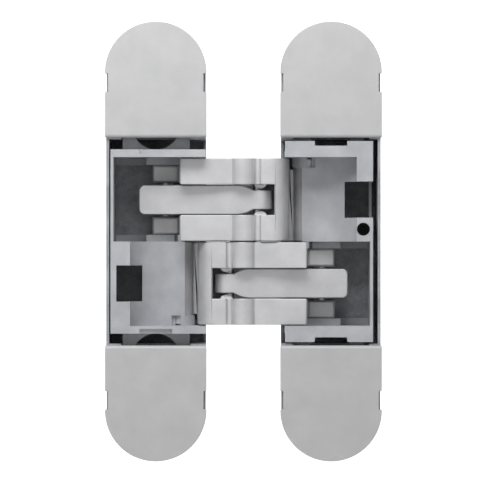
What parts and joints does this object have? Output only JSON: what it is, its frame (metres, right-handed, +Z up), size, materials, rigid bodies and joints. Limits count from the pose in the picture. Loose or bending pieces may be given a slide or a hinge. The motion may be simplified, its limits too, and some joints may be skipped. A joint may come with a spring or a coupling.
{
  "type": "concealed door hinge",
  "caption": "Concealed door hinge shown open flat: two round-ended leaves with clip-on covers, adjustable carriers, crossed cast arms and side links in their slots.",
  "frame": {"origin": "middle of the open hinge: halfway between the leaves, halfway up, and halfway through the depth", "axes": "+Z up along the pivot pins, +X from the frame leaf to the door leaf, +Y into the wood"},
  "size_m": [0.0764, 0.0284, 0.1214],
  "materials": {
    "cover": "fine satin chrome-coloured lacquer",
    "case_casting": "satin silver lacquer over zinc casting",
    "carrier_casting": "satin silver lacquer over zinc casting",
    "arm_casting": "satin silver lacquer over zinc casting",
    "pin_steel": "ground steel",
    "bush_plastic": "self-lubricating bearing plastic"
  },
  "bodies": {
    "frame_case": {"frame_case": "case_casting", "frame_top_cover": "cover", "frame_bottom_cover": "cover", "frame_clamp_screws": "pin_steel"},
    "frame_carrier": {"frame_carrier": "carrier_casting", "frame_arm_pin": "pin_steel", "frame_link_pin": "pin_steel", "frame_inner_bearing_block": "carrier_casting", "frame_outer_bearing_block": "carrier_casting"},
    "frame_arm": {"frame_arm": "arm_casting", "frame_arm_bush": "bush_plastic", "centre_bush": "bush_plastic", "arm_washer": "bush_plastic", "door_link_end_pin": "pin_steel"},
    "door_arm": {"door_arm": "arm_casting", "door_arm_bush": "bush_plastic", "centre_pin": "pin_steel", "frame_link_end_pin": "pin_steel"},
    "door_carrier": {"door_carrier": "carrier_casting", "door_arm_pin": "pin_steel", "door_link_pin": "pin_steel", "door_inner_bearing_block": "carrier_casting", "door_outer_bearing_block": "carrier_casting", "side_screw": "pin_steel"},
    "door_case": {"door_case": "case_casting", "door_top_cover": "cover", "door_bottom_cover": "cover", "door_clamp_screws": "pin_steel"},
    "frame_link": {"frame_link": "arm_casting", "frame_link_bush": "bush_plastic"},
    "door_link": {"door_link": "arm_casting", "door_link_bush": "bush_plastic"}
  },
  "joints": [
    {"name": "height_slide", "type": "slide", "parent": "frame_case", "child": "frame_carrier", "axis": [0, 0, 1], "range_m": [-0.0025, 0.0025]},
    {"name": "frame_arm_pivot", "type": "hinge", "parent": "frame_carrier", "child": "frame_arm", "pos_m": [-0.0175, 0.0038, 0], "axis": [0, 0, 1], "range_deg": [-72, 0]},
    {"name": "centre_pivot", "type": "hinge", "parent": "frame_arm", "child": "door_arm", "pos_m": [0, -0.007, 0], "axis": [0, 0, 1], "range_deg": [-36, 0]},
    {"name": "door_arm_pivot", "type": "hinge", "parent": "door_arm", "child": "door_carrier", "pos_m": [0.0175, 0.0038, 0], "axis": [0, 0, 1], "range_deg": [-72, 0]},
    {"name": "side_slide", "type": "slide", "parent": "door_carrier", "child": "door_case", "axis": [1, 0, 0], "range_m": [-0.001, 0.001]},
    {"name": "frame_link_pivot", "type": "hinge", "parent": "frame_carrier", "child": "frame_link", "pos_m": [-0.0217, 0.0065, 0], "axis": [0, 0, 1], "range_deg": [-65.9, 0]},
    {"name": "door_link_pivot", "type": "hinge", "parent": "door_carrier", "child": "door_link", "pos_m": [0.0217, 0.0065, 0], "axis": [0, 0, 1], "range_deg": [0, 65.9]}
  ],
  "couplings": [
    {"joint": "centre_pivot", "follows": "frame_arm_pivot", "ratio": 0.5},
    {"joint": "door_arm_pivot", "follows": "frame_arm_pivot", "ratio": 1},
    {"joint": "frame_link_pivot", "follows": "frame_arm_pivot", "ratio": 0.915},
    {"joint": "door_link_pivot", "follows": "frame_arm_pivot", "ratio": -0.915}
  ]
}
